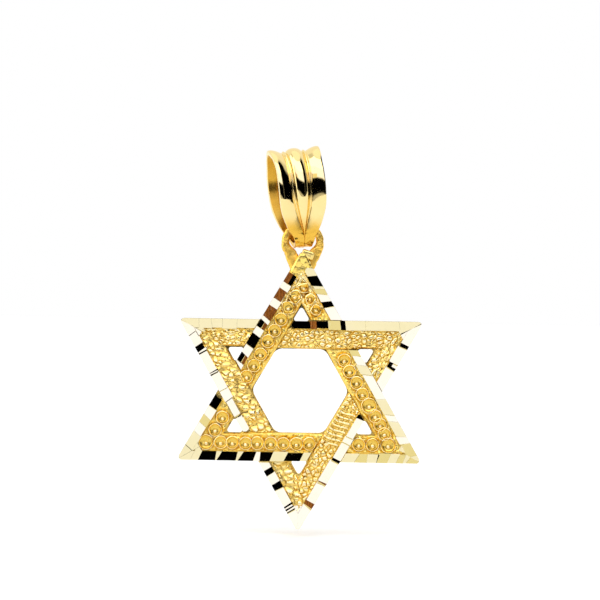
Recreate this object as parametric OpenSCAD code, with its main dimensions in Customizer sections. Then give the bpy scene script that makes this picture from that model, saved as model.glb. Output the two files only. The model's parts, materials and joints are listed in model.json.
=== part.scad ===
// Star of David pendant: a cast star of two interlaced triangles with its soldered hanging loop,
// and the ribbed bail that carries it. Lengths are in millimetres, +Z is up and -Y is the front.
// The origin is the top of the space inside the bail, where a chain bears.

/* [Star] */
// From the star's centre to a tip before it is blunted
star_r = 11.1; // [9:0.1:14]
// Width of each woven band
band_w = 2.25; // [2:0.05:2.7]
// Thickness of the cast plate
plate_t = 0.85; // [0.6:0.05:1.6]
// Radius that blunts the tips
tip_r = 0.4; // [0.15:0.05:0.7]
// Rise of a band where it passes over the next one
over_h = 0.2; // [0.05:0.05:0.4]
// Radius of the corners of the six small holes
hole_corner_r = 0.18; // [0.05:0.01:0.25]
// How far the small holes reach past the sides of their bands
hole_grow = 0.1; // [0:0.01:0.2]

/* [Diamond-cut rim] */
// Width of the polished rim along a band's outer edge
rim_w = 0.72; // [0.5:0.02:0.9]
// Height of the rim above the plate
rim_h = 0.36; // [0.2:0.02:0.6]
// Depth of the cuts into the rim
cut_depth = 0.1; // [0.04:0.01:0.18]

/* [Bead cups] */
// Outer diameter of a cup
cup_d = 0.94; // [0.7:0.02:1]
// Outer diameter of the larger cup at each corner
corner_cup_d = 1.12; // [0.8:0.02:1.2]
// Distance between cups along a band
cup_pitch = 1.02; // [1:0.01:1.4]
// Height of a cup above the plate
cup_h = 0.28; // [0.15:0.01:0.4]
// Width of a cup's lip
cup_lip = 0.11; // [0.06:0.01:0.16]
// Diameter of the bead at the bottom of a cup
bead_d = 0.36; // [0.2:0.01:0.45]

/* [Nugget grain] */
// Diameter of a cast grain
grain_d = 0.5; // [0.3:0.01:0.56]
// Distance between grains along a band
grain_pitch = 0.64; // [0.6:0.01:1.2]

/* [Hanging loop] */
// Radius of the middle of the loop's wire
loop_r = 1.36; // [1.2:0.01:1.7]
// Width of the loop's wire in the plane of the star
loop_w = 0.64; // [0.45:0.01:0.8]
// Thickness of the loop's wire from front to back
loop_t = 0.46; // [0.35:0.01:0.55]
// Height of the loop's centre above the blunted top tip
loop_rise = 0.82; // [0.6:0.01:1]
// Angle at which the loop's legs run in towards the tip
leg_angle = 23; // [15:1:30]
// Width of the tab at the top tip
tab_w = 1; // [0.6:0.05:1.1]
// Length of the tab
tab_l = 0.9; // [0.5:0.05:1.2]
// How far the tab stands to the side of the tip
tab_shift = 0.3; // [0:0.02:0.4]

/* [Bail] */
// Height of the bail between the middles of its wall
bail_h = 7.08; // [6.8:0.02:8]
// Depth of the bail between the middles of its wall
bail_d = 3; // [2.8:0.05:3.6]
// Width of the strap at the top
bail_w = 4; // [3.4:0.05:4.2]
// Thickness of the strap
bail_wall = 0.42; // [0.3:0.01:0.5]
// Height of the ribs
rib_h = 0.3; // [0.1:0.01:0.4]
// Angle that the bail is turned to the star
bail_turn = 14; // [0:1:16]
// Angle that the bail leans to the side
bail_lean = 7; // [0:1:10]
// From the bail's inner bottom up to the middle of the loop's top wire
hang_rise = 1.3; // [1.2:0.01:1.5]
// How far the star hangs to the side of the bail's middle line
hang_side = 0.18; // [0:0.01:0.35]

/* [Hidden] */

gold = [0.93, 0.76, 0.33];
sink = 0.2;                              // how deep raised work is rooted in the plate
grain_sink = 0.02;                       // how far a grain's middle lies under the face it stands on
over_cut = 1;                            // how far a cutting solid reaches past what it trims
step_in = 0.02;                          // how far a raised band stands in from the plate's sides
rim_gap = 0.05;                          // between a rim's end and the band that crosses over it
cup_gap = 0.04;                          // between the cup in a corner and the next one
facets_round = 32;                       // sides that stand for a full circle in outlines
side_line = star_r / 2;                  // from the centre to the outer edge of each band
inner_line = side_line - band_w;         // from the centre to a side of the open hexagon
tip_u = side_line * tan(60);             // half the length of a band's outer edge
notch_u = side_line * tan(30);           // where a band meets the next one's outer edge
cross_l = band_w / sin(60);              // length of a crossing along a band
cup_line = (inner_line + side_line - rim_w) / 2;
corner_u = cup_line * tan(60);
plate_top = plate_t;
top_z = star_r - tip_r;                  // the blunted tip, above the star's centre
loop_z = top_z + loop_rise;              // centre of the loop
hinge_z = loop_z + loop_r;               // middle of the loop's top wire
loop_forward = 0.12;                     // from the plate's middle forward to the loop's wire
loop_mid = plate_t / 2 + loop_forward;   // middle of the loop's wire above the star's back
leg_short = 0.3;                         // how far the loop's legs stop short of where they would meet
hang_drop = bail_h - bail_wall - hang_rise;
hang_x = hang_drop * sin(bail_lean) + hang_side;

// One row for each band: direction of its outward normal, how its rim is cut (length of a cut along
// the band, and slant of the cuts from square across it), and whether cups or grain fill it
BAND_NORMAL = 0;
BAND_CUT = 1;
BAND_SLANT = 2;
BAND_CUPS = 3;
BANDS = [
  [ 90, 2.4,    6, false],
  [150, 0.95, -17, true ],
  [210, 2.1,   -4, false],
  [270, 1.05, -33, true ],
  [330, 1.8,    2, false],
  [ 30, 1.0,  -34, true ],
];

// The strap from its top to its bottom. drop: share of bail_h. depth: share of half of bail_d.
// width: share of bail_w. relief: share of rib_h. spread: how far the ribs spread over the width
ROW_DROP = 0;
ROW_DEPTH = 1;
ROW_WIDTH = 2;
ROW_RELIEF = 3;
ROW_SPREAD = 4;
STRAP_ROWS = [
  [0,     0,    1,    1,    1   ],
  [0.015, 0.24, 0.99, 1,    1   ],
  [0.06,  0.52, 0.96, 1,    1   ],
  [0.137, 0.77, 0.93, 1,    1   ],
  [0.24,  0.94, 0.93, 1,    0.98],
  [0.347, 1,    0.93, 0.97, 0.95],
  [0.44,  0.95, 0.92, 0.93, 0.9 ],
  [0.523, 0.86, 0.91, 0.87, 0.82],
  [0.611, 0.76, 0.87, 0.78, 0.7 ],
  [0.699, 0.69, 0.8,  0.66, 0.55],
  [0.787, 0.65, 0.7,  0.48, 0.38],
  [0.85,  0.64, 0.59, 0.3,  0.22],
  [0.91,  0.6,  0.46, 0.12, 0.12],
  [0.96,  0.48, 0.4,  0,    0.08],
  [0.99,  0.26, 0.37, 0,    0.06],
  [1,     0,    0.36, 0,    0.05],
];
STEPS_BETWEEN = 2;                       // sections made for each row of the strap

// Half of the strap's section, from its middle to its edge. across: share of half the width.
// rise: share of the relief. The domed rib, a groove, a thin fillet, a groove and a flared flange
SECTION_OUT = [
  [0,     1   ],
  [0.1,   0.96],
  [0.2,   0.76],
  [0.28,  0.42],
  [0.335, 0.02],
  [0.375, 0.3 ],
  [0.42,  0.42],
  [0.465, 0.3 ],
  [0.505, 0.02],
  [0.6,   0.12],
  [0.75,  0.5 ],
  [0.88,  0.86],
  [0.96,  1   ],
  [1,     0.9 ],
];
SECTION_IN = [
  [0,    0   ],
  [0.5,  0   ],
  [0.75, 0.3 ],
  [1,    0.62],
];
SPREAD_END = 0.505;                      // the ribs lie inside this share of half the width

// Places a band's own parts: u runs along the band on X and v runs outwards on Y
module on_band(normal) {
  rotate([0, 0, normal - 90]) children();
}

// A band's strip between two distances from the star's centre
module strip_2d(from_v, to_v) {
  translate([-tip_u, from_v]) square([2 * tip_u, to_v - from_v]);
}

// Points of an arc
arc_steps = 8;
function arc(centre, r, from, to) =
  [for (k = [0:arc_steps]) let (a = from + (to - from) * k / arc_steps) centre + r * [cos(a), sin(a)]];

// A corner of 60 degrees blunted by a radius: its point lies at a distance from the origin
function blunt(reach, r, direction) =
  arc((reach - r / sin(30)) * [cos(direction), sin(direction)], r, direction - 60, direction + 60);

// The outline of the whole star with blunted tips
function notch(direction) = notch_u / sin(30) * [cos(direction), sin(direction)];
star_points = [for (k = [0:5], p = concat(blunt(star_r, tip_r, 60 * k - 30), [notch(60 * k)])) p];
module star_2d() {
  polygon(star_points);
}

// One small hole: what is left inside a point between its two bands and the band that crosses it
apex_v = star_r - band_w / sin(30) + hole_grow;
base_v = side_line - hole_grow;
hole_reach = (apex_v - base_v) * 2 / 3;
module small_hole_2d() {
  translate([0, apex_v - hole_reach])
    polygon([for (k = [0:2], p = blunt(hole_reach, hole_corner_r, 120 * k + 90)) p]);
}

module plate() {
  linear_extrude(plate_t)
    difference() {
      star_2d();
      circle(r = inner_line / cos(30), $fn = 6);
      for (band = BANDS) rotate(band[BAND_NORMAL] - 90) small_hole_2d();
    }
}

// Rise of a band's surface at a place along it: it climbs over one crossing and is level elsewhere
over_from = notch_u - cross_l;
over_to = notch_u + cross_l;
ramp_l = cross_l / 2;
function over_rise(u) =
  over_h * max(0, min(1, (u - over_from + ramp_l) / ramp_l, (over_to - u) / ramp_l));

// A profile of lengths along the band and heights, drawn across the band at a slant
module across_band(slant) {
  translate([0, cup_line, 0]) rotate([0, 0, slant]) rotate([90, 0, 0])
    linear_extrude(4 * band_w, center = true) children();
}

// The body of a band where it climbs over the next one
module over_body() {
  foot_l = ramp_l * (1 + sink / over_h);
  translate([0, side_line - step_in, 0]) rotate([90, 0, 0]) linear_extrude(band_w - 2 * step_in)
    polygon([
      [over_from - foot_l, plate_top - sink], [over_from, plate_top + over_h],
      [over_to - ramp_l, plate_top + over_h], [over_to - ramp_l + foot_l, plate_top - sink],
    ]);
}

// The rim's top line, cut to and fro: high and low points by turns, one for each cut
function rim_points(cut_l, slant) =
  let (count = ceil(tip_u / cut_l) + 1)
  [for (i = [-count:count])
    [i * cut_l * cos(slant),
     plate_top + rim_h + over_rise(i * cut_l) - (i % 2 == 0 ? 0 : cut_depth)]];

module rim(cut_l, slant) {
  points = rim_points(cut_l, slant);
  first_u = points[0][0];
  last_u = points[len(points) - 1][0];
  intersection() {
    linear_extrude(plate_t + rim_h + over_h + over_cut)
      difference() {
        intersection() {
          strip_2d(side_line - rim_w, side_line);
          star_2d();
        }
        rotate(60) strip_2d(inner_line - rim_gap, side_line + rim_gap);
      }
    across_band(slant)
      polygon(concat(points, [[last_u, plate_top - sink], [first_u, plate_top - sink]]));
  }
}

// A cup: a ring with a bowl in it and a bead at the bottom of the bowl
module cup(outer_d) {
  bowl_r = outer_d / 2 - cup_lip;
  bowl_z = cup_h + 0.3 * bowl_r;
  difference() {
    translate([0, 0, -sink]) cylinder(d = outer_d, h = sink + cup_h, $fn = facets_round);
    translate([0, 0, bowl_z]) sphere(r = norm([bowl_r, bowl_z - cup_h]), $fn = facets_round);
  }
  translate([0, 0, bead_d * 0.08]) sphere(d = bead_d, $fn = 20);
}

// Where the cups of a band stand: from its corner to the crossing that hides it, and beyond that
hidden_from = (cup_line * cos(60) - side_line) / sin(60);
hidden_to = (cup_line * cos(60) - inner_line) / sin(60);
first_gap = (corner_cup_d + cup_d) / 2 + cup_gap;
function cup_places() = concat(
  [for (u = [corner_u - first_gap:-cup_pitch:hidden_to + cup_d / 4]) u],
  [for (u = [-corner_u + first_gap:cup_pitch:hidden_from - cup_d / 2]) u]);

module cups() {
  translate([corner_u, cup_line, plate_top]) cup(corner_cup_d);
  for (u = cup_places())
    translate([u, cup_line, plate_top + over_rise(u)]) cup(cup_d);
}

// Two rows of grains, stepped by half a pitch and a little uneven
grain_row = (band_w - rim_w) / 4;
function uneven(i) = sin(i * 137.5) * grain_d * 0.12;
function seen(u) = u > hidden_to + grain_d / 2 || u < hidden_from - grain_d / 2;
module grains() {
  for (row = [-1, 1], i = [-14:14]) {
    u = (i + row / 4) * grain_pitch + uneven(i + row);
    v = cup_line + row * grain_row + uneven(i * 3 + row) / 2;
    inside = abs(u) < corner_u - row * grain_row * tan(60);
    if (inside && seen(u))
      translate([u, v, plate_top + over_rise(u) - grain_sink])
        sphere(d = grain_d, $fn = 16);
  }
}

module band(row) {
  on_band(row[BAND_NORMAL]) {
    over_body();
    rim(row[BAND_CUT], row[BAND_SLANT]);
    if (row[BAND_CUPS]) cups(); else grains();
  }
}

// The loop's wire: its section with eased edges, r across and h through
module wire_2d() {
  ease = loop_t * 0.25;
  polygon([
    [-loop_w / 2, -loop_t / 2 + ease], [-loop_w / 2 + ease, -loop_t / 2],
    [loop_w / 2 - ease, -loop_t / 2], [loop_w / 2, -loop_t / 2 + ease],
    [loop_w / 2, loop_t / 2 - ease], [loop_w / 2 - ease, loop_t / 2],
    [-loop_w / 2 + ease, loop_t / 2], [-loop_w / 2, loop_t / 2 - ease],
  ]);
}

// The loop: most of a ring, with two straight legs that run in behind the tip
module loop() {
  leg_l = loop_r / tan(leg_angle) - leg_short;
  translate([0, loop_z, loop_mid]) {
    rotate([0, 0, -leg_angle]) rotate_extrude(angle = 180 + 2 * leg_angle, $fn = 64)
      translate([loop_r, 0]) wire_2d();
    for (side = [0, 1]) mirror([side, 0, 0])
      rotate([0, 0, -leg_angle]) translate([loop_r, 0, 0])
        rotate([90, 0, 0]) linear_extrude(leg_l) wire_2d();
  }
}

// The tab that finishes the top tip in front of the loop's legs
module tab() {
  translate([0, top_z - tab_l, 0])
    linear_extrude(plate_top + rim_h - cut_depth / 2)
      translate([tab_shift - tab_w / 2, 0]) square([tab_w, tab_l + tip_r / 2]);
}

// The star stands up in the hanging position, its front towards -Y
module star() {
  color(gold)
    translate([hang_x, loop_mid, -hang_drop * cos(bail_lean) - hinge_z])
      rotate([90, 0, 0]) {
        plate();
        for (row = BANDS) band(row);
        loop();
        tab();
      }
}

// A smooth curve through four rows, at a share of the way from the second to the third
function through(a, b, c, d, s) =
  0.5 * (2 * b + (c - a) * s + (2 * a - 5 * b + 4 * c - d) * s * s + (3 * b - a - 3 * c + d) * s * s * s);
function mirrored(row) =
  [row[ROW_DROP], -row[ROW_DEPTH], row[ROW_WIDTH], row[ROW_RELIEF], row[ROW_SPREAD]];
function reversed(list) = [for (i = [len(list) - 1:-1:0]) list[i]];

// The strap's rows all the way round: down the front and up the back
rows_last = len(STRAP_ROWS) - 1;
strap_ring = concat(
  STRAP_ROWS,
  [for (i = [rows_last - 1:-1:1]) mirrored(STRAP_ROWS[i])]);
ring_n = len(strap_ring);
function ring_row(i) = strap_ring[(i + ring_n) % ring_n];
strap_sections = [for (i = [0:ring_n - 1], k = [0:STEPS_BETWEEN - 1])
  through(ring_row(i - 1), ring_row(i), ring_row(i + 1), ring_row(i + 2), k / STEPS_BETWEEN)];
sections_n = len(strap_sections);
function section(i) = strap_sections[(i + sections_n) % sections_n];

// The middle of the wall at a section, as depth towards the front and height
function wall_middle(i) =
  [section(i)[ROW_DEPTH] * bail_d / 2, bail_wall / 2 - section(i)[ROW_DROP] * bail_h];
function wall_normal(i) =
  let (run = wall_middle(i + 1) - wall_middle(i - 1))
  [-run[1], run[0]] / norm(run);

// Ribs draw together towards the middle as the spread falls
function across_share(share, spread) =
  share <= SPREAD_END ? share * spread
  : spread * SPREAD_END + (share - SPREAD_END) / (1 - SPREAD_END) * (1 - spread * SPREAD_END);
function both_sides(half) = concat(
  [for (i = [len(half) - 1:-1:1]) [-half[i][0], half[i][1]]], half);
section_loop = concat(
  [for (p = both_sides(SECTION_OUT)) [p[0], p[1], 0.5]],
  [for (p = reversed(both_sides(SECTION_IN))) [p[0], p[1], -0.5]]);
loop_n = len(section_loop);

function strap_point(i, p) =
  let (
    row = section(i),
    share = sign(p[0]) * across_share(abs(p[0]), row[ROW_SPREAD]),
    out = p[2] * bail_wall + p[1] * row[ROW_RELIEF] * rib_h,
    place = wall_middle(i) + wall_normal(i) * out
  )
  [share * row[ROW_WIDTH] * bail_w / 2, -place[0], place[1]];

strap_points = [for (i = [0:sections_n - 1], p = section_loop) strap_point(i, p)];
function ring_index(i, j) = (i % sections_n) * loop_n + j % loop_n;
strap_faces = [for (i = [0:sections_n - 1], j = [0:loop_n - 1], half = [0, 1])
  half == 0
    ? [ring_index(i, j), ring_index(i, j + 1), ring_index(i + 1, j + 1)]
    : [ring_index(i, j), ring_index(i + 1, j + 1), ring_index(i + 1, j)]];

module bail() {
  color(gold)
    rotate([0, -bail_lean, 0]) rotate([0, 0, bail_turn])
      polyhedron(points = strap_points, faces = strap_faces, convexity = 6);
}

star();
bail();
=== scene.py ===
"""Star of David pendant: the looks of the cast gold star and its ribbed bail, in metres, front towards -Y.

Every sub-assembly is worked in millimetres in a frame of its own and set into place through one matrix.
"""

from __future__ import annotations

import json
import logging
import math
import random
from dataclasses import dataclass
from enum import Enum
from typing import Any, Callable, Sequence

import bmesh
import bpy
from bmesh.types import BMEdge, BMesh, BMVert
from bpy.types import Material, Node, NodeSocket, NodeTree, Object
from mathutils import Matrix, Vector, noise


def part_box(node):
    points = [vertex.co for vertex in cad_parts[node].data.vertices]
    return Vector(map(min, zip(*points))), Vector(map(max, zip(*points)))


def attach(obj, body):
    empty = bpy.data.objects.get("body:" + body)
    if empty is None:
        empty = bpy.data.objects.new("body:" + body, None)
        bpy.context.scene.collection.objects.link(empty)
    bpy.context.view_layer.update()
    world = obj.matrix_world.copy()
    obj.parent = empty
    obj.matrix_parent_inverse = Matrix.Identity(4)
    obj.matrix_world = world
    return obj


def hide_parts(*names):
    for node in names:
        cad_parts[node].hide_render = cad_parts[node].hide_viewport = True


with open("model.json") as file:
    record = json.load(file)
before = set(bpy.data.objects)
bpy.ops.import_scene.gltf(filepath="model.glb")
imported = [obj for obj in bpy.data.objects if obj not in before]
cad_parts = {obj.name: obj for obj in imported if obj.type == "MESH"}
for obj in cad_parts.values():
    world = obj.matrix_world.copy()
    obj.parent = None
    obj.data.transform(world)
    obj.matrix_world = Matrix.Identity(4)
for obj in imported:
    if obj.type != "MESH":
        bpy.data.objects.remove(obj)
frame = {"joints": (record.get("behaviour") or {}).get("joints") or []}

LOG = logging.getLogger("pendant")
MM = 0.001
SIN60 = math.sin(math.radians(60))
TAN60 = math.tan(math.radians(60))
HOLLOW = "hollow"  # share on each vertex: 0 takes the painted highlight tint, 1 the painted shade tint, with some patina, deep in a hollow
PLAIN = 0.35  # the share at which a surface takes neither the painted highlight nor the painted shade tint


def srgb(code: str) -> tuple[float, float, float, float]:
    """Turn an sRGB hex colour to the linear one that the shader takes.

    Args:
        code: six hex digits.

    Returns:
        Linear red, green, blue and an alpha of 1.
    """
    parts = [int(code[i : i + 2], 16) / 255 for i in (0, 2, 4)]
    r, g, b = (c / 12.92 if c <= 0.04045 else ((c + 0.055) / 1.055) ** 2.4 for c in parts)
    return (r, g, b, 1.0)


def add_node(tree: NodeTree, kind: str, links: dict[Any, Any] | None = None, **settings: Any) -> Node:
    """Add a node with its settings, and link or set its inputs.

    Args:
        tree: the node tree it goes into.
        kind: the node's type name, without ShaderNode in front.
        links: for each input's name or number, a socket to link or a value to set.
        settings: the node's own properties.

    Returns:
        The new node.
    """
    node = tree.nodes.new("ShaderNode" + kind)
    for key, value in settings.items():
        setattr(node, key, value)
    for key, value in (links or {}).items():
        if isinstance(value, NodeSocket):
            tree.links.new(value, node.inputs[key])
        else:
            node.inputs[key].default_value = value
    return node


def lerp(a: float, b: float, share: float) -> float:
    """The value at a share of the way from a to b."""
    return a + (b - a) * share


def ease(value: float, low: float = 0.0, high: float = 1.0) -> float:
    """A smooth rise from 0 at low to 1 at high."""
    s = min(1.0, max(0.0, (value - low) / (high - low)))
    return s * s * (3 - 2 * s)


def shake(place: Vector) -> Vector:
    """A chance offset for a place, from -1 to 1 each way and the same in each run."""
    return Vector([noise.noise(place + Vector((5.3, 17.1 * axis, 31.7))) for axis in range(3)])


def curve_through(
    a: Sequence[float], b: Sequence[float], c: Sequence[float], d: Sequence[float], s: float
) -> list[float]:
    """A smooth curve through four rows of numbers.

    Args:
        a: the row before.
        b: the row where the step starts.
        c: the row where it ends.
        d: the row after.
        s: share of the way from b to c.

    Returns:
        The row at that share.
    """
    return [
        0.5 * (2 * q + (r - p) * s + (2 * p - 5 * q + 4 * r - t) * s * s + (3 * q - p - 3 * r + t) * s**3)
        for p, q, r, t in zip(a, b, c, d)
    ]


def clip(cell: BMesh, point: Vector, normal: Vector) -> None:
    """Cut away what lies beyond a plane.

    Args:
        cell: the mesh to cut.
        point: a point of the plane.
        normal: the side that goes.
    """
    whole = cell.verts[:] + cell.edges[:] + cell.faces[:]
    bmesh.ops.bisect_plane(cell, geom=whole, plane_co=point, plane_no=normal, clear_outer=True)


def join(into: BMesh, part: BMesh, place: Matrix | None = None) -> None:
    """Put a part's mesh into another mesh and free it.

    Args:
        into: the mesh that takes it.
        part: the mesh that goes in.
        place: where it goes.
    """
    if place is not None:
        part.transform(place)
    if part.verts.layers.float.get(HOLLOW) and not into.verts.layers.float.get(HOLLOW):
        into.verts.layers.float.new(HOLLOW)
    mesh = bpy.data.meshes.new("part")
    part.to_mesh(mesh)
    part.free()
    into.from_mesh(mesh)
    bpy.data.meshes.remove(mesh)


def drop_skirt(bm: BMesh, level: float) -> None:
    """Turn a sheet's edges down to a level and close it underneath.

    Args:
        bm: the mesh of the sheet.
        level: height that the edges reach.
    """
    rim = [e for e in bm.edges if e.is_boundary]
    fallen = bmesh.ops.extrude_edge_only(bm, edges=rim)["geom"]
    for vert in (g for g in fallen if isinstance(g, BMVert)):
        vert.co.z = level
    bmesh.ops.holes_fill(bm, edges=[e for e in bm.edges if e.is_boundary], sides=0)


def face_outwards(bm: BMesh) -> None:
    """Turn the faces of every closed shell outwards.

    Args:
        bm: the mesh, of one or more shells.
    """
    bmesh.ops.recalc_face_normals(bm, faces=bm.faces[:])
    left = set(bm.faces)
    while left:
        shell, edge = [], [left.pop()]
        while edge:
            face = edge.pop()
            shell.append(face)
            near = {other for e in face.edges for other in e.link_faces} & left
            left -= near
            edge += near
        if sum(f.calc_area() * f.normal.dot(f.verts[0].co) for f in shell) < 0:
            bmesh.ops.reverse_faces(bm, faces=shell)


# Finishes


@dataclass(frozen=True)
class Gold:
    """Yellow gold alloy: a metal, so its colour is its mirror colour and its IOR stays the default.

    Each kind of surface below says how it was made. patch_mm and grain_mm are the real sizes of its
    colour patches and of its grain, and depth_mm is how deep the grain goes.
    """

    name: str = "gold"
    colour: str = "FFE29B"
    second: str = "FFDA8A"
    roughness: float = 0.1
    spread: float = 0.05
    patch_mm: float = 0.9
    grain_mm: float = 0.12
    depth_mm: float = 0.004
    strength: float = 0.3
    stretch: tuple[float, float, float] = (1.0, 1.0, 1.0)
    dull_colour: str = "E8B848"
    dull_rough: float = 0.24
    dull_from_mm: float = 0.0
    dull_to_mm: float = 0.0
    dull_edge_mm: float = 1.2
    # tints mixed in by the hollow share: a painted highlight on high points, and a painted shade with some
    # patina in hollows
    painted_highlight_colour: str = ""
    hollow_shade_and_patina_colour: str = ""

    def bump(self, tree: NodeTree, place: NodeSocket) -> NodeSocket:
        """Draw the grain of the surface.

        Args:
            tree: the material's nodes.
            place: object coordinates.

        Returns:
            The normal that the shader takes.
        """
        drawn = add_node(tree, "Mapping", {"Vector": place, "Scale": self.stretch}).outputs["Vector"]
        size = {"Vector": drawn, "Scale": 1 / (self.grain_mm * MM), "Detail": 3.0}
        grain = add_node(tree, "TexNoise", size).outputs["Fac"]
        depth = {"Height": grain, "Strength": self.strength, "Distance": self.depth_mm * MM}
        return add_node(tree, "Bump", depth).outputs["Normal"]

    def dull(self, tree: NodeTree, place: NodeSocket, patches: NodeSocket) -> NodeSocket:
        """Mark the strap's lower part by height, with an uneven edge, where it turns deeper in colour and
        rougher.

        Args:
            tree: the material's nodes.
            place: object coordinates.
            patches: the noise that makes the edge uneven.

        Returns:
            A mask that is 1 where the surface stays dull.
        """
        height = add_node(tree, "SeparateXYZ", {"Vector": place}).outputs["Z"]
        terms = {0: patches, 1: self.dull_edge_mm * MM, 2: height}
        uneven = add_node(tree, "Math", terms, operation="MULTIPLY_ADD").outputs[0]
        start, end = ((z + self.dull_edge_mm / 2) * MM for z in (self.dull_from_mm, self.dull_to_mm))
        ends = {"Value": uneven, "From Min": start, "From Max": end}
        return add_node(tree, "MapRange", ends, interpolation_type="SMOOTHSTEP").outputs["Result"]

    def material(self) -> Material:
        """Mix the finish: its colour in patches, with a painted highlight on high points and a painted shade
        with some patina in hollows, and its gloss.

        Returns:
            The finish as a node material.
        """
        made = bpy.data.materials.new(self.name)
        made.use_nodes = True
        tree = made.node_tree
        tree.nodes.clear()
        place = add_node(tree, "TexCoord").outputs["Object"]
        size = {"Vector": place, "Scale": 1 / (self.patch_mm * MM), "Detail": 2.0}
        patches = add_node(tree, "TexNoise", size).outputs["Fac"]
        tints = {0: patches, "A": srgb(self.colour), "B": srgb(self.second)}
        colour = add_node(tree, "Mix", tints, data_type="RGBA").outputs["Result"]
        ends = {"Value": patches, "From Min": 0.3, "From Max": 0.7}
        ends |= {"To Min": max(0.0, self.roughness - self.spread), "To Max": self.roughness + self.spread}
        gloss = add_node(tree, "MapRange", ends).outputs["Result"]
        # painted highlight tint where the hollow share is low, painted shade tint with some patina where it
        # is high
        if self.hollow_shade_and_patina_colour:
            deep = add_node(tree, "Attribute", attribute_name=HOLLOW).outputs["Fac"]
            for code, full in ((self.painted_highlight_colour, 0.0), (self.hollow_shade_and_patina_colour, 1.0)):
                ends = {"Value": deep, "From Min": PLAIN, "From Max": full}
                share = add_node(tree, "MapRange", ends).outputs["Result"]
                tints = {0: share, "A": colour, "B": srgb(code)}
                colour = add_node(tree, "Mix", tints, data_type="RGBA").outputs["Result"]
        if self.dull_from_mm != self.dull_to_mm:
            mask = self.dull(tree, place, patches)
            tints = {0: mask, "A": colour, "B": srgb(self.dull_colour)}
            colour = add_node(tree, "Mix", tints, data_type="RGBA").outputs["Result"]
            shares = {0: mask, 2: gloss, 3: self.dull_rough}
            gloss = add_node(tree, "Mix", shares, data_type="FLOAT").outputs[0]
        looks = {"Base Color": colour, "Metallic": 1.0, "Roughness": gloss, "Normal": self.bump(tree, place)}
        shader = add_node(tree, "BsdfPrincipled", looks).outputs["BSDF"]
        add_node(tree, "OutputMaterial", {"Surface": shader})
        return made


@dataclass(frozen=True)
class CastGold(Gold):
    """Lost-wax casting, tumbled: satin, with the fine skin of the mould, painted shade and some patina in the
    hollows and a painted highlight on the high points.
    """

    name: str = "cast_yellow_gold_tumbled"
    colour: str = "FBE28C"
    second: str = "F5D472"
    painted_highlight_colour: str = "FFEDB4"
    hollow_shade_and_patina_colour: str = "E2B854"
    roughness: float = 0.27
    spread: float = 0.06
    patch_mm: float = 0.7
    grain_mm: float = 0.16
    depth_mm: float = 0.03
    strength: float = 0.5


@dataclass(frozen=True)
class WebGold(CastGold):
    """The cast ground between and behind the cups, as it came from the mould: matt."""

    name: str = "cast_yellow_gold_as_moulded"
    colour: str = "FFE27C"
    second: str = "F8D468"
    roughness: float = 0.32
    spread: float = 0.08
    grain_mm: float = 0.11
    depth_mm: float = 0.035


@dataclass(frozen=True)
class FiledGold(CastGold):
    """The plate's flat back and its edges, filed and tumbled: soft, with shallow dents 0.35 mm across."""

    name: str = "cast_yellow_gold_filed"
    colour: str = "FFE488"
    second: str = "E6B850"
    roughness: float = 0.25
    spread: float = 0.1
    patch_mm: float = 1.1
    grain_mm: float = 0.35
    depth_mm: float = 0.05
    strength: float = 0.7


@dataclass(frozen=True)
class BeadedGold(CastGold):
    """Cups and beads pressed and burnished with a beading tool: bright, with painted shade and some patina
    inside the cup and a painted highlight on the lip and the bead.
    """

    name: str = "beaded_yellow_gold"
    colour: str = "FFE890"
    second: str = "FADC7A"
    painted_highlight_colour: str = "FFF2B8"
    hollow_shade_and_patina_colour: str = "E0BA50"
    roughness: float = 0.25
    spread: float = 0.07
    depth_mm: float = 0.008


@dataclass(frozen=True)
class DiamondCutGold(Gold):
    """Cut with a diamond tool that runs down the star: mirror-bright flats with faint lines along its path.

    The real lines are some 0.02 mm apart and are drawn 0.16 mm apart, and nine times as long, to show.
    """

    name: str = "diamond_cut_yellow_gold"
    colour: str = "EADFB8"
    second: str = "E5D9A8"
    roughness: float = 0.05
    spread: float = 0.02
    patch_mm: float = 1.4
    grain_mm: float = 0.16
    depth_mm: float = 0.008
    strength: float = 0.8
    stretch: tuple[float, float, float] = (1.0, 1.0, 0.11)


@dataclass(frozen=True)
class PolishedGold(Gold):
    """Stamped strap buffed on a wheel: high gloss with soft long ripples left by the buffing."""

    name: str = "buffed_yellow_gold"
    colour: str = "F7E0A0"
    second: str = "F2D890"
    roughness: float = 0.06
    spread: float = 0.03
    patch_mm: float = 1.6
    grain_mm: float = 0.9
    depth_mm: float = 0.01
    strength: float = 0.35
    # from 4.4 mm down the strap is deeper in colour and rougher
    dull_from_mm: float = -4.4
    dull_to_mm: float = -5.8


@dataclass(frozen=True)
class SatinGold(Gold):
    """The inside of the strap, where no wheel reaches: satin from the rolling mill, with its colour darkened
    as painted shade inside the strap.
    """

    name: str = "rolled_yellow_gold_unpolished"
    # darker than the outside's gold: painted shade inside the strap
    colour: str = "DDB044"
    second: str = "BC8828"
    roughness: float = 0.24
    spread: float = 0.06
    patch_mm: float = 1.6
    grain_mm: float = 0.5
    depth_mm: float = 0.012
    strength: float = 0.4


@dataclass(frozen=True)
class HammeredGold(Gold):
    """Wire flattened with a hammer: small worn flats, duller than the polished parts."""

    name: str = "hammered_yellow_gold"
    colour: str = "FFD666"
    second: str = "F8C450"
    roughness: float = 0.42
    spread: float = 0.07
    patch_mm: float = 0.5
    grain_mm: float = 0.2
    depth_mm: float = 0.02
    strength: float = 0.4


@dataclass(frozen=True)
class SolderedGold(Gold):
    """Gold solder run at a joint and scraped: paler and greener than the star."""

    name: str = "soldered_yellow_gold"
    colour: str = "F8E294"
    second: str = "EACB6C"
    roughness: float = 0.3
    spread: float = 0.08
    patch_mm: float = 0.4
    grain_mm: float = 0.15
    depth_mm: float = 0.02
    strength: float = 0.5


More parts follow.
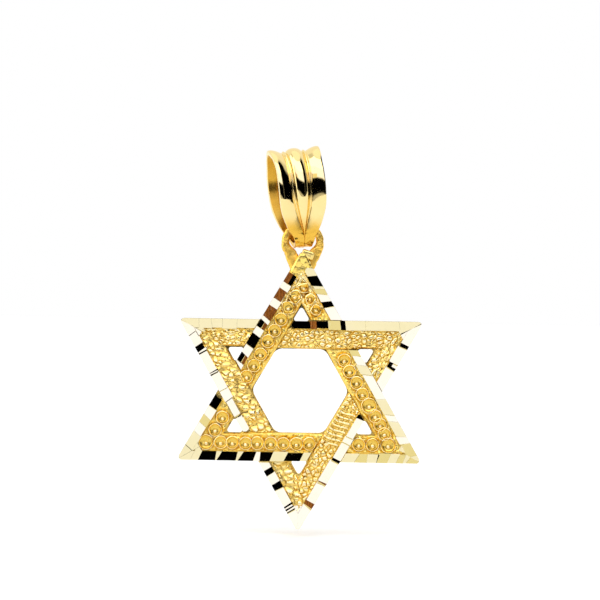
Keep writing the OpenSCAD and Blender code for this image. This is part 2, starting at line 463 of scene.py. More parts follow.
def finish_piece(
    name: str,
    bm: BMesh,
    place: Matrix,
    finish: Gold,
    body: str,
    sharp_deg: float,
    replaces: str | None = None,
    inside: Gold | None = None,
) -> Object:
    """Turn a mesh in millimetres into a piece of the pendant.

    Args:
        name: the piece's name.
        bm: its mesh, which is freed.
        place: from the mesh's own frame to the shared one.
        finish: what it is made of and how.
        body: the body it moves with.
        sharp_deg: edges that turn more than this stay sharp.
        replaces: the CAD node it stands for.
        inside: the finish of the faces of material number 1, if there are any.

    Returns:
        The new object.
    """
    bmesh.ops.remove_doubles(bm, verts=bm.verts[:], dist=1e-5)
    bm.transform(place)
    face_outwards(bm)
    if not bm.verts.layers.float.get(HOLLOW):
        layer = bm.verts.layers.float.new(HOLLOW)
        for vert in bm.verts:
            vert[layer] = PLAIN
    mesh = bpy.data.meshes.new(name)
    bm.to_mesh(mesh)
    bm.free()
    mesh.shade_smooth()
    mesh.set_sharp_from_angle(angle=math.radians(sharp_deg))
    for made in filter(None, (finish, inside)):
        mesh.materials.append(made.material())
    piece = bpy.data.objects.new(name, mesh)
    bpy.context.scene.collection.objects.link(piece)
    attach(piece, body)
    if replaces:
        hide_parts(replaces)
    LOG.info("%s: %d faces, %s", name, len(mesh.polygons), finish.name)
    return piece


# The star


class Tone(Enum):
    """What a cut facet mirrors to a viewer in front: the mirrored ray's degrees to the right and up."""

    BLACK = (0.0, 4.0)
    BROWN = (-42.0, 15.5)
    CREAM = (-3.0, -20.0)
    WHITE = (6.0, 27.0)
    BEIGE = (-28.0, 15.5)

    def normal(self, viewer: Vector, jitter: random.Random, spread: float) -> Vector:
        """The facet's normal in the star's frame, a little off by chance.

        Args:
            viewer: direction from the facet to a viewer in front.
            jitter: source of the chance.
            spread: largest turn of the mirrored ray, in degrees.

        Returns:
            A unit normal, Z towards the viewer.
        """
        right, up = (math.radians(a + jitter.uniform(-spread, spread)) for a in self.value)
        ray = Vector((math.cos(up) * math.sin(right), math.sin(up), math.cos(up) * math.cos(right)))
        return (ray + viewer).normalized()


class Fill(Enum):
    """What covers a band inside its rim."""

    CUPS = "bead cups"
    LUMPS = "nugget lumps"
    SCALES = "nugget scales"
    COMB = "nugget combed across"


@dataclass(frozen=True)
class StarPlan:
    """The star's plan, in millimetres: X right, Y up, Z from the back to the front."""

    reach: float = 11.04
    band: float = 2.25
    plate: float = 0.85
    tip_round: float = 0.27
    over: float = 0.2
    rim: float = 0.72
    rim_high: float = 0.36
    tip_inside: float = 8.95
    hole_round: float = 0.2
    hole_grow: float = 0.1
    window_round: float = 0.75
    reading: float = 300.0
    loop_mid: float = 0.545
    hang: float = 12.88

    @property
    def side(self) -> float:
        """From the centre to a band's outer edge."""
        return self.reach / 2

    @property
    def inner(self) -> float:
        """From the centre to a band's inner edge."""
        return self.side - self.band

    @property
    def rim_line(self) -> float:
        """From the centre to the rim's inner edge."""
        return self.side - self.rim

    @property
    def place(self) -> Matrix:
        """From the star's frame to the shared one, hung from the joint's axis.

        Returns:
            The matrix that takes millimetres of the star to metres of the object.
        """
        x, y, z = frame["joints"][0]["pos_m"]
        return (
            Matrix.Translation((x, y + self.loop_mid * MM, z - self.hang * MM))
            @ Matrix.Rotation(math.radians(90), 4, "X")
            @ Matrix.Scale(MM, 4)
        )

    def lift(self, u: float) -> float:
        """How far a band's surface stands above the plate where it climbs over the next band.

        Args:
            u: place along the band.

        Returns:
            Height above the plate.
        """
        notch, cross = self.side / TAN60, self.band / SIN60
        ramp = cross / 2
        rise = ease(u, notch - cross - ramp, notch - cross)
        return self.over * rise * (1 - ease(u, notch + cross - ramp, notch + cross))

    def under_u(self, v: float, line: float) -> float:
        """Where a line of the band that crosses over meets a line along this band.

        Args:
            v: distance of the line along this band from the centre.
            line: distance of the crossing line from the centre.

        Returns:
            Place along this band.
        """
        return (v / 2 - line) / SIN60


@dataclass
class CastPlate:
    """The flat casting that carries the bands, pierced by the hexagon and six small holes."""

    plan: StarPlan
    sunk: float = 0.02
    edge_round: float = 0.06
    edge_turn_rad: float = 1.2

    def ring(
        self, bm: BMesh, sides: int, radii: Sequence[float], turn: float, centre: Vector
    ) -> list[list[BMVert]]:
        """Draw a closed outline from a circle with radii taken by turns.

        Args:
            bm: the mesh.
            sides: number of corners.
            radii: distances of the corners from the centre, by turns.
            turn: direction of the first corner, in degrees.
            centre: middle of the outline.

        Returns:
            The outline's corners, with the first radius's corners first.
        """
        verts = bmesh.ops.create_circle(bm, segments=sides, radius=1)["verts"]
        rows: list[list[BMVert]] = [[] for _ in radii]
        for k, vert in enumerate(verts):
            angle = math.radians(turn + 360 * k / sides)
            vert.co = centre + radii[k % len(radii)] * Vector((math.cos(angle), math.sin(angle), 0))
            rows[k % len(radii)].append(vert)
        return rows

    def build(self) -> Object:
        """Cast the plate: outlines, filled, given their thickness and eased along the edges.

        Returns:
            The plate, whose top lies a little under the bands' faces.
        """
        plan = self.plan
        bm = bmesh.new()
        notch = plan.side / TAN60 * 2
        tips = self.ring(bm, 12, (plan.reach, notch), -30, Vector())[0]
        window = self.ring(bm, 6, (plan.inner / math.cos(math.radians(30)),), 0, Vector())[0]
        apex = plan.reach - 2 * plan.band + plan.hole_grow
        reach = (apex - plan.side + plan.hole_grow) * 2 / 3
        corners = []
        for k in range(6):
            angle = math.radians(60 * k + 30)
            centre = (apex - reach) * Vector((math.cos(angle), math.sin(angle), 0))
            corners += self.ring(bm, 3, (reach,), 60 * k + 30, centre)[0]
        rounds = (
            (tips, plan.tip_round * TAN60),
            (corners, plan.hole_round * TAN60),
            (window, plan.window_round / TAN60),
        )
        shared = {"profile": 0.5, "material": -1}
        for verts, size in rounds:
            bmesh.ops.bevel(bm, geom=verts, offset=size, segments=5, affect="VERTICES", **shared)
        bmesh.ops.triangle_fill(bm, edges=bm.edges[:], use_beauty=True)
        lifted = bmesh.ops.extrude_face_region(bm, geom=bm.faces[:], use_keep_orig=True)["geom"]
        top = [g for g in lifted if isinstance(g, BMVert)]
        bmesh.ops.translate(bm, vec=(0, 0, plan.plate - self.sunk), verts=top)
        bmesh.ops.recalc_face_normals(bm, faces=bm.faces[:])
        back = [e for e in bm.edges if all(v.co.z < plan.plate / 2 for v in e.verts)]
        rims = [e for e in back if len(e.link_faces) == 2 and e.calc_face_angle(0) > self.edge_turn_rad]
        bmesh.ops.bevel(bm, geom=rims, offset=self.edge_round, segments=2, affect="EDGES", **shared)
        return finish_piece("star_cast_plate", bm, plan.place, FiledGold(), "star", 25, replaces="star")


@dataclass(frozen=True)
class Cut:
    """One cut of a rim: where it starts along the band, and what it mirrors.

    It mirrors nothing where the rim is hidden or missing. inner is what its inner half mirrors where that
    differs, and narrow is how much narrower than the rim it is on each side.
    """

    start: float
    tone: Tone | None
    inner: Tone | None = None
    narrow: float = 0.0


@dataclass(frozen=True)
class Grain:
    """Cast nuggets: a nugget's length down the star, its height, and its width as a share of its length."""

    cell: float = 0.34
    high: float = 0.25
    wide: float = 1.1


@dataclass
class Band:
    """One straight band of a triangle: its grained face, its cut rim and its cups.

    u runs along the band and v outwards from the star's centre. It climbs over the next band where u is
    positive and dives under the band before it where u is negative. The cuts lean by lean_deg, which grows
    by fan a millimetre where u is positive, and sway is how uneven they are. The nuggets are combed across
    where u is within comb, the casting is rough where the star's Y is past worn_y, and the face runs under
    the rim by tuck. Each bead sits low in its cup by bead_low. A name that ends in off is a chance offset,
    and one that ends in worn is added where the casting is rough.
    """

    plan: StarPlan
    normal_deg: int
    lean_deg: float
    fill: Fill
    cuts: Sequence[Cut]
    cups: Sequence[tuple[float, float]] = ()
    fan: float = 0.0
    sway: float = 3.0
    seed: int = 0
    grid: float = 0.042
    lumps: Grain = Grain()
    scales: Grain = Grain(0.36, 0.27, 1.5)
    nugget_warp: float = 0.35
    web_cell: float = 0.3
    web_deep: float = 0.1
    web_grain: float = 0.11
    web_worn: float = 0.12
    wobble: float = 0.05
    shoulder: float = 0.07
    comb: tuple[float, float] = (-0.6, 2.4)
    comb_pitch: float = 0.38
    worn_y: tuple[float, float] = (5.4, 7.4)
    tuck: float = 0.1
    skirt: float = 0.12
    face_gap: float = 0.015
    block_gap: float = 0.01
    block_sink: float = 0.1
    crossing_gap: float = 0.04
    facet_turn_deg: float = 1.2
    inner_share: float = 0.45
    corner_wide: float = 0.8
    corner_long: float = 2.0
    rim_back: float = 0.01
    rim_off: tuple[float, float] = (-0.06, 0.05)
    blunt_share: float = 0.42
    cup_steps: int = 28
    cup_rise: float = 0.09
    cup_out: float = 0.1
    cup_off: tuple[float, float] = (0.02, 0.03)
    cup_uneven: float = 0.03
    cup_worn: float = 0.13
    bead: float = 0.17
    bead_low: float = 0.12

    @property
    def turn(self) -> Matrix:
        """From the band's own directions to the star's."""
        return Matrix.Rotation(math.radians(self.normal_deg - 90), 4, "Z")

    @property
    def down(self) -> Vector:
        """The way down in the band's own directions."""
        return self.turn.inverted() @ Vector((0, -1, 0))

    @property
    def cup_line(self) -> float:
        """From the star's centre to the middle of the cups."""
        return (self.plan.inner + self.plan.rim_line) / 2 + self.cup_out

    def relief(self, u: float, v: float) -> float:
        """Height of the cast grain at a place of the band.

        Args:
            u: place along the band.
            v: place across it.

        Returns:
            Height above the band's face.
        """
        plan = self.plan
        low = self.edge(u)
        border = ease(v, low + 0.02, low + 0.16) * (1 - 0.7 * ease(v, plan.rim_line - 0.1, plan.rim_line))
        shoulder = -self.shoulder * (1 - ease(v, low - 0.03, low + 0.08))
        wobble = self.wobble * noise.noise(Vector((u * 1.7, v * 1.7, self.seed)))
        if self.fill is Fill.CUPS:
            return shoulder + border * (self.web(u, v) + wobble)
        grain = self.scales if self.fill is Fill.SCALES else self.lumps
        return shoulder + border * (grain.high * self.nugget(grain, u, v) + wobble)

    def web(self, u: float, v: float) -> float:
        """Height of the ground between the cups: fine grain that sinks towards each cup.

        Args:
            u: place along the band.
            v: place across it.

        Returns:
            Height above the band's face.
        """
        near = min((math.hypot(u - c, v - self.cup_line) / d for c, d in self.cups), default=1.0)
        far = noise.voronoi(Vector((u / self.web_cell, v / self.web_cell, self.seed)))[0]
        high = self.web_grain + self.web_worn * self.wear(u, v)
        sunk = self.web_deep * (ease(near, 0.4, 0.75) - 0.5)
        return sunk + high * max(0.0, 1 - (far[0] / 0.75) ** 2)

    def nugget(self, grain: Grain, u: float, v: float) -> float:
        """Share of a nugget's full height at a place of the band.

        Args:
            grain: the nuggets' sizes.
            u: place along the band.
            v: place across it.

        Returns:
            0 in the gaps between the nuggets, and about 1 at the top of a high one.
        """
        along = Vector((u, v, 0)).dot(self.down)
        across = Vector((u, v, 0)).dot(Vector((-self.down.y, self.down.x, 0)))
        place = Vector((across / grain.cell / grain.wide, along / grain.cell, self.seed * 3.7))
        warp = (noise.noise(place * 0.9), noise.noise(place * 0.9 + Vector((9, 4, 2))), 0)
        place += self.nugget_warp * Vector(warp)
        far, points = noise.voronoi(place)
        lump = max(0.0, 1 - (far[0] / 0.85) ** 2) ** 0.75 * ease(far[1] - far[0], -0.06, 0.24)
        lump *= 0.72 + 0.35 * noise.noise(points[0] * 5.1)
        if self.fill is Fill.SCALES:
            lump *= 0.7 + (place - points[0]).y
        if self.fill is Fill.COMB and self.comb[0] < u < self.comb[1]:
            ridge = 0.5 + 0.5 * math.cos(2 * math.pi * (u + 0.12 * math.sin(v * 3)) / self.comb_pitch)
            lump = 0.65 * ease(ridge, 0.1, 0.9) + 0.35 * lump
        return lump

    def wear(self, u: float, v: float) -> float:
        """How rough the casting stayed at a place of the band: 1 near the top tip, where no tool got in."""
        return ease((self.turn @ Vector((u, v, 0))).y, *self.worn_y)

    def edge(self, u: float) -> float:
        """Distance of the face's inner edge from the star's centre: it is set back beside the small holes."""
        return self.plan.inner + 0.01 + (self.plan.hole_grow + 0.01) * ease(abs(u), 4.2, 4.5)

    def skin(self, bm: BMesh, from_u: Callable[[float], float], to_u: Callable[[float], float]) -> None:
        """Lay one stretch of the band's face as a fine grid, with its edges turned down.

        Args:
            bm: the mesh that takes it.
            from_u: gives the stretch's start at a place across the band.
            to_u: gives its end.
        """
        plan = self.plan
        low, high = plan.inner, plan.rim_line + self.tuck
        steps_u = max(2, round((to_u(low) - from_u(low)) / self.grid))
        steps_v = round((high - low) / self.grid)
        part = bmesh.new()
        deep = part.verts.layers.float.new(HOLLOW)
        bmesh.ops.create_grid(part, x_segments=steps_u, y_segments=steps_v, size=0.5)
        for vert in part.verts:
            v = lerp(low, high, vert.co.y + 0.5)
            v = lerp(self.edge(lerp(from_u(v), to_u(v), vert.co.x + 0.5)), high, vert.co.y + 0.5)
            u = lerp(from_u(v), to_u(v), vert.co.x + 0.5)
            rise = self.relief(u, v)
            web = self.fill is Fill.CUPS
            # painted tint: nugget faces take painted shade where they sink and painted highlight where they
            # rise; the ground between cups takes faint painted shade, turning to the pale highlight tint
            # towards the top tip
            vert[deep] = 0.4 - 0.3 * self.wear(u, v) if web else 1 - ease(rise, -0.06, 0.19)
            vert.co = Vector((u, v, plan.plate + plan.lift(u) + rise))
        drop_skirt(part, plan.plate - self.skirt)
        join(bm, part, self.turn)

    def face(self, bm: BMesh) -> None:
        """Lay the band's face on both sides of the crossing that hides it.

        Args:
            bm: the mesh that takes it.
        """
        plan, gap = self.plan, self.face_gap
        self.skin(bm, lambda v: -v * TAN60, lambda v: plan.under_u(v, plan.side + gap))
        self.skin(bm, lambda v: plan.under_u(v, plan.inner - gap), lambda v: v * TAN60)

    def slant(self, u: float) -> float:
        """Tangent of the lean of the cut at a place along the band, off by -3 to 1 times sway by chance."""
        chance = self.sway * (2 * noise.cell(Vector((u * 9, 0, self.seed))) - 1)
        return math.tan(math.radians(self.lean_deg + self.fan * max(0.0, u) + chance))

    def facet(self, start: float, end: float, low: float, high: float) -> BMesh:
        """Draw a facet's outline, trimmed to the star and to the band that crosses over.

        Args:
            start: where it begins along the band.
            end: where it ends.
            low: its inner edge.
            high: its outer edge.

        Returns:
            A mesh of one flat face, or of none where nothing is left.
        """
        plan = self.plan
        mid = (plan.rim_line + plan.side) / 2
        cell = bmesh.new()
        bmesh.ops.create_grid(cell, x_segments=1, y_segments=1, size=0.5)
        for vert in cell.verts:
            v = lerp(low - 0.3, high + 0.3, vert.co.y + 0.5)
            u, gap = (start, self.block_gap / 2) if vert.co.x < 0 else (end, -self.block_gap / 2)
            vert.co = Vector((u + gap + (v - mid) * self.slant(u), v, 0))
        clip(cell, Vector((0, low, 0)), Vector((0, -1, 0)))
        clip(cell, Vector((0, high, 0)), Vector((0, 1, 0)))
        for hand in (-1, 1):
            clip(cell, Vector((-0.001 * hand, 0, 0)), Vector((hand, -TAN60, 0)))
            tip = self.tip(hand)
            for turn in (-50, -25, 0, 25, 50):
                way = Matrix.Rotation(math.radians(turn), 3, "Z") @ tip
                clip(cell, tip * (plan.reach - 2 * plan.tip_round) + way * plan.tip_round, way)
        over = Vector((-SIN60, 0.5, 0))
        if (start + end) / 2 < plan.under_u(mid, plan.side):
            clip(cell, over * (plan.side + self.crossing_gap), -over)
        else:
            clip(cell, over * (plan.inner - self.crossing_gap), over)
        return cell

    def blunt(self, cell: BMesh, start: float, low: float, high: float) -> None:
        """Round the start of the rim where it comes out from under the crossing band.

        Args:
            cell: the first facet's outline.
            start: where it begins along the band.
            low: its inner edge.
            high: its outer edge.
        """
        size = self.blunt_share * (high - low)
        for hand, v in ((-1, low + size), (1, high - size)):
            for turn in (20, 45, 70):
                way = Vector((-math.cos(math.radians(turn)), hand * math.sin(math.radians(turn)), 0))
                clip(cell, Vector((start + size, v, 0)) + way * size, way)

    def tip(self, hand: int) -> Vector:
        """Direction of the tip at the band's low end (-1) or high end (1)."""
        return Vector((hand * SIN60, 0.5, 0))

    def block(self, bm: BMesh, cells: Sequence[BMesh], tone: Tone, jitter: random.Random) -> None:
        """Cut one facet of the rim: a small block whose top is turned to mirror its tone.

        Args:
            bm: the mesh that takes it.
            cells: the facet's outlines, which share one plane.
            tone: what it mirrors.
            jitter: source of small chance turns.
        """
        plan = self.plan
        for cell in cells:
            if not cell.faces:
                cell.free()
        cells = [c for c in cells if c.is_valid]
        if not cells:
            return
        centre = cells[0].faces[:][0].calc_center_median()
        level = plan.plate + plan.rim_high + plan.lift(centre.x)
        centre = self.turn @ centre
        viewer = (Vector((0, 0, plan.reading)) - centre).normalized()
        normal = tone.normal(viewer, jitter, self.facet_turn_deg)
        for cell in cells:
            cell.transform(self.turn)
            lifted = bmesh.ops.extrude_face_region(cell, geom=cell.faces[:], use_keep_orig=True)["geom"]
            top = [g for g in lifted if isinstance(g, BMVert)]
            for vert in top:
                away = vert.co - centre
                vert.co.z = level - (normal.x * away.x + normal.y * away.y) / normal.z
            for vert in set(cell.verts) - set(top):
                vert.co.z = plan.plate - self.block_sink
            bmesh.ops.recalc_face_normals(cell, faces=cell.faces[:])
            join(bm, cell)

    def corner(self, hand: int) -> BMesh:
        """The plain corner inside a tip, where the cast grain stops short.

        Args:
            hand: -1 for the band's low end, 1 for its high end.

        Returns:
            A mesh of one flat face.
        """
        plan = self.plan
        end = hand * plan.rim_line * TAN60
        ends = sorted((end, end - self.corner_long * hand))
        cell = self.facet(*ends, plan.rim_line - self.corner_wide, plan.rim_line)
        clip(cell, self.tip(hand) * plan.tip_inside, -self.tip(hand))
        return cell

    def rim(self, bm: BMesh) -> None:
        """Cut the band's rim, facet by facet.

        Args:
            bm: the mesh that takes it.
        """
        plan, jitter = self.plan, random.Random(self.seed)
        tip = plan.side * TAN60 + 0.2
        ends = [cut.start for cut in self.cuts[1:]] + [tip]
        hidden = False
        for cut, end in zip(self.cuts, ends):
            low = plan.rim_line + jitter.uniform(*self.rim_off) + cut.narrow
            high = plan.side - self.rim_back - cut.narrow
            if cut.tone is not None:
                split = lerp(low, high, self.inner_share) if cut.inner else low
                main = self.facet(cut.start, end, split, high)
                if hidden:
                    self.blunt(main, cut.start, low, high)
                cells = [main]
                if cut is self.cuts[0] or cut is self.cuts[-1]:
                    cells.append(self.corner(-1 if cut is self.cuts[0] else 1))
                self.block(bm, cells, cut.tone, jitter)
                if cut.inner:
                    half = self.facet(cut.start, end, low, split - self.block_gap)
                    self.block(bm, [half], cut.inner, jitter)
            hidden = cut.tone is None

    def cup(self, bm: BMesh, u: float, v: float, across: float) -> None:
        """Turn one cup: an outer wall, a lip, a bowl and the bead in it.

        Args:
            bm: the mesh that takes it.
            u: place along the band.
            v: place across it.
            across: outer diameter.
        """
        r, bead, part = across / 2, self.bead, bmesh.new()
        uneven = self.cup_uneven + self.cup_worn * self.wear(u, v)
        wall = ((r + 0.04, -0.2, 1.0), (r + 0.03, 0.0, 1.0), (r + 0.01, 0.12, 0.8), (r, 0.2, 0.3))
        lip = ((r - 0.015, 0.24, 0.0), (r - 0.045, 0.25, 0.0), (r - 0.065, 0.22, 0.4))
        bowl = ((r - 0.11, 0.13, 0.9), (r - 0.18, 0.06, 1.0), (bead + 0.09, 0.025, 0.9))
        foot = ((bead + 0.04, 0.01, 0.9), (bead + 0.01, 0.02, 1.0), (bead - 0.015, 0.06, 0.5))
        ball = ((bead - 0.05, 0.1, 0.0), (bead - 0.1, 0.125, 0.0), (0.0, 0.14, 0.0))
        profile = ((0.0, -0.2, 1.0), *wall, *lip, *bowl, *foot, *ball)  # out, up and the hollow share: 1 paints shade on the wall and in the bowl, 0 paints a highlight on the lip and the bead
        verts = [bmesh.ops.create_vert(part, co=(x, 0, z))["vert"][0] for x, z, _ in profile]
        edges = [part.edges.new(pair) for pair in zip(verts, verts[1:])]
        whole = {"angle": 2 * math.pi, "steps": self.cup_steps, "use_merge": True}
        bmesh.ops.spin(part, geom=verts + edges, axis=(0, 0, 1), cent=(0, 0, 0), **whole)
        bmesh.ops.remove_doubles(part, verts=part.verts[:], dist=1e-4)
        deep = part.verts.layers.float.new(HOLLOW)
        for vert in part.verts:
            out = vert.co.xy.length
            vert[deep] = min(profile, key=lambda row: abs(row[0] - out) + abs(row[1] - vert.co.z))[2]
            if vert.co.z > -0.1:
                vert.co += self.down * self.bead_low * (1 - ease(out, bead + 0.03, r - 0.04))
                vert.co += uneven * shake(vert.co * 2.4 + Vector((u * 7, v, self.seed)))
        for face in part.faces:
            off = face.calc_center_median() - self.down * self.bead_low
            face.material_index = int(off.xy.length > bead)
        rise = self.plan.plate + self.plan.lift(u) + self.cup_rise
        join(bm, part, self.turn @ Matrix.Translation((u, v, rise)))

    def set_cups(self, bm: BMesh) -> None:
        """Set the band's cups, a little uneven as the wax was.

        Args:
            bm: the mesh that takes them.
        """
        jitter = random.Random(self.seed + 40)
        along, out = self.cup_off
        for u, across in self.cups:
            spot = (u + jitter.uniform(-along, along), self.cup_line + jitter.uniform(-out, out))
            self.cup(bm, *spot, across)


@dataclass
class WovenStar:
    """Both triangles: six bands that pass over and under each other by turns."""

    plan: StarPlan

    def bands(self) -> list[Band]:
        """The six bands, each with its cuts as read along it from where u is lowest.

        Returns:
            The bands. In the rows here each has its normal's direction and its cuts' lean in degrees, what
            covers it, its cuts, its cups' places and diameters, how the lean grows and how uneven it is.
        """
        k, n, c, w, b = (Tone.BLACK, Tone.BROWN, Tone.CREAM, Tone.WHITE, Tone.BEIGE)
        no, cup, big = None, 1.06, 1.22
        rows = (
            (90, 0, Fill.LUMPS,
             ((-9.9, c), (-7.96, c), (-6.97, c), (-6.14, c), (-5.0, c), (-3.0, no), (-0.74, k, no, 0.08),
              (0.7, n, no, 0.08), (1.2, k, no, 0.08), (2.1, b), (3.06, k), (3.45, c), (5.0, c),
              (7.65, c)), ()),
            (150, 13, Fill.CUPS,
             ((-9.9, c), (-8.26, c), (-6.97, w), (-6.14, b), (-5.46, w), (-4.62, k), (-3.72, b), (-3.0, no),
              (-1.14, w, no, 0.05), (-0.46, k, n, 0.04), (0.22, w, no, 0.03), (0.98, k), (1.97, w),
              (2.6, k, n), (3.18, w), (3.51, n), (4.51, w), (5.15, n), (6.06, w), (6.63, n, k), (7.5, no)),
             ((-6.02, cup), (-4.88, cup), (-1.2, cup), (-0.18, cup), (0.86, cup), (2.04, cup), (3.03, cup),
              (4.0, cup), (5.07, cup), (6.1, cup)), -0.6),
            (210, 0, Fill.SCALES,
             ((-9.9, w), (-7.88, k), (-7.78, w), (-7.66, k), (-7.54, w), (-7.42, k), (-7.28, w), (-5.88, k),
              (-5.35, w), (-4.55, k), (-4.09, w), (-3.0, no), (-0.72, w, no, 0.08), (0.64, n, no, 0.08),
              (0.72, w, no, 0.06), (2.1, w), (3.0, w), (4.39, k), (4.46, w), (4.55, k), (4.62, w), (6.28, k),
              (6.36, w), (6.5, k), (6.97, w), (8.0, w)), ()),
            (270, 30, Fill.CUPS,
             ((-9.9, b), (-8.56, c), (-8.2, b), (-7.7, c), (-7.0, b), (-6.1, c), (-5.3, b), (-4.5, c),
              (-3.0, no), (-1.2, c, no, 0.05), (-0.2, k, no, 0.04), (1.03, c), (2.15, k), (3.03, w),
              (3.45, k), (4.54, c), (4.85, k), (6.2, c), (6.48, k), (7.7, c), (8.3, c)),
             ((-6.93, big), (-5.73, cup), (-4.62, cup), (-0.76, cup), (0.23, cup), (1.2, cup), (2.22, cup),
              (3.25, cup), (4.2, cup), (5.2, cup), (6.13, cup), (7.24, big)), 0, 8),
            (330, 0, Fill.COMB,
             ((-9.9, w), (-7.28, k), (-7.0, w), (-5.58, w, k), (-5.28, k), (-5.08, w), (-3.0, no),
              (-0.84, k, no, 0.06), (-0.5, w, no, 0.06), (1.13, w), (1.66, w), (3.1, k), (3.33, w), (5.18, n),
              (5.3, w), (7.0, n), (7.39, w)), ()),
            (30, 33, Fill.CUPS,
             ((-9.9, no), (-8.1, c), (-7.35, k), (-6.45, c), (-6.2, b), (-5.75, w), (-5.08, k), (-4.6, w),
              (-3.0, no), (-1.1, b, no, 0.05), (-0.23, w, no, 0.04), (0.6, c), (1.44, w), (3.6, c), (5.0, w),
              (5.6, c), (6.97, w), (7.57, b), (8.7, c)),
             ((-6.9, 0.86), (-5.9, 0.86), (-4.9, 0.9), (-0.41, cup), (0.56, cup), (1.59, cup), (2.57, cup),
              (3.59, 1.24), (4.54, cup), (5.35, cup), (6.13, cup)), 0, 5),
        )
        return [
            Band(self.plan, normal, lean, fill, [Cut(*cut) for cut in cuts], *rest, seed=i + 1)
            for i, (normal, lean, fill, cuts, *rest) in enumerate(rows)
        ]

    def build(self) -> list[Object]:
        """Make each band's grained face with its cups, and its rim.

        Returns:
            Two pieces for each band.
        """
        made = []
        for band in self.bands():
            name = f"band_{band.normal_deg:03d}"
            face, rim = bmesh.new(), bmesh.new()
            band.face(face)
            band.set_cups(face)
            ground, cups = (WebGold(), BeadedGold()) if band.fill is Fill.CUPS else (CastGold(), None)
            place = self.plan.place
            made.append(finish_piece(name + "_face", face, place, ground, "star", 50, inside=cups))
            band.rim(rim)
            made.append(finish_piece(name + "_rim", rim, place, DiamondCutGold(), "star", 10))
        return made


@dataclass(frozen=True)
class Slab:
    """A run of solder: its middle, its size, its turn in the star's plane and the height of its top."""

    x: float
    y: float
    wide: float
    high: float
    turn_deg: float
    top: float
    deep: float = 0.5
    tilt_deg: float = 11.0
    edge_round: float = 0.16
    uneven: float = 0.025


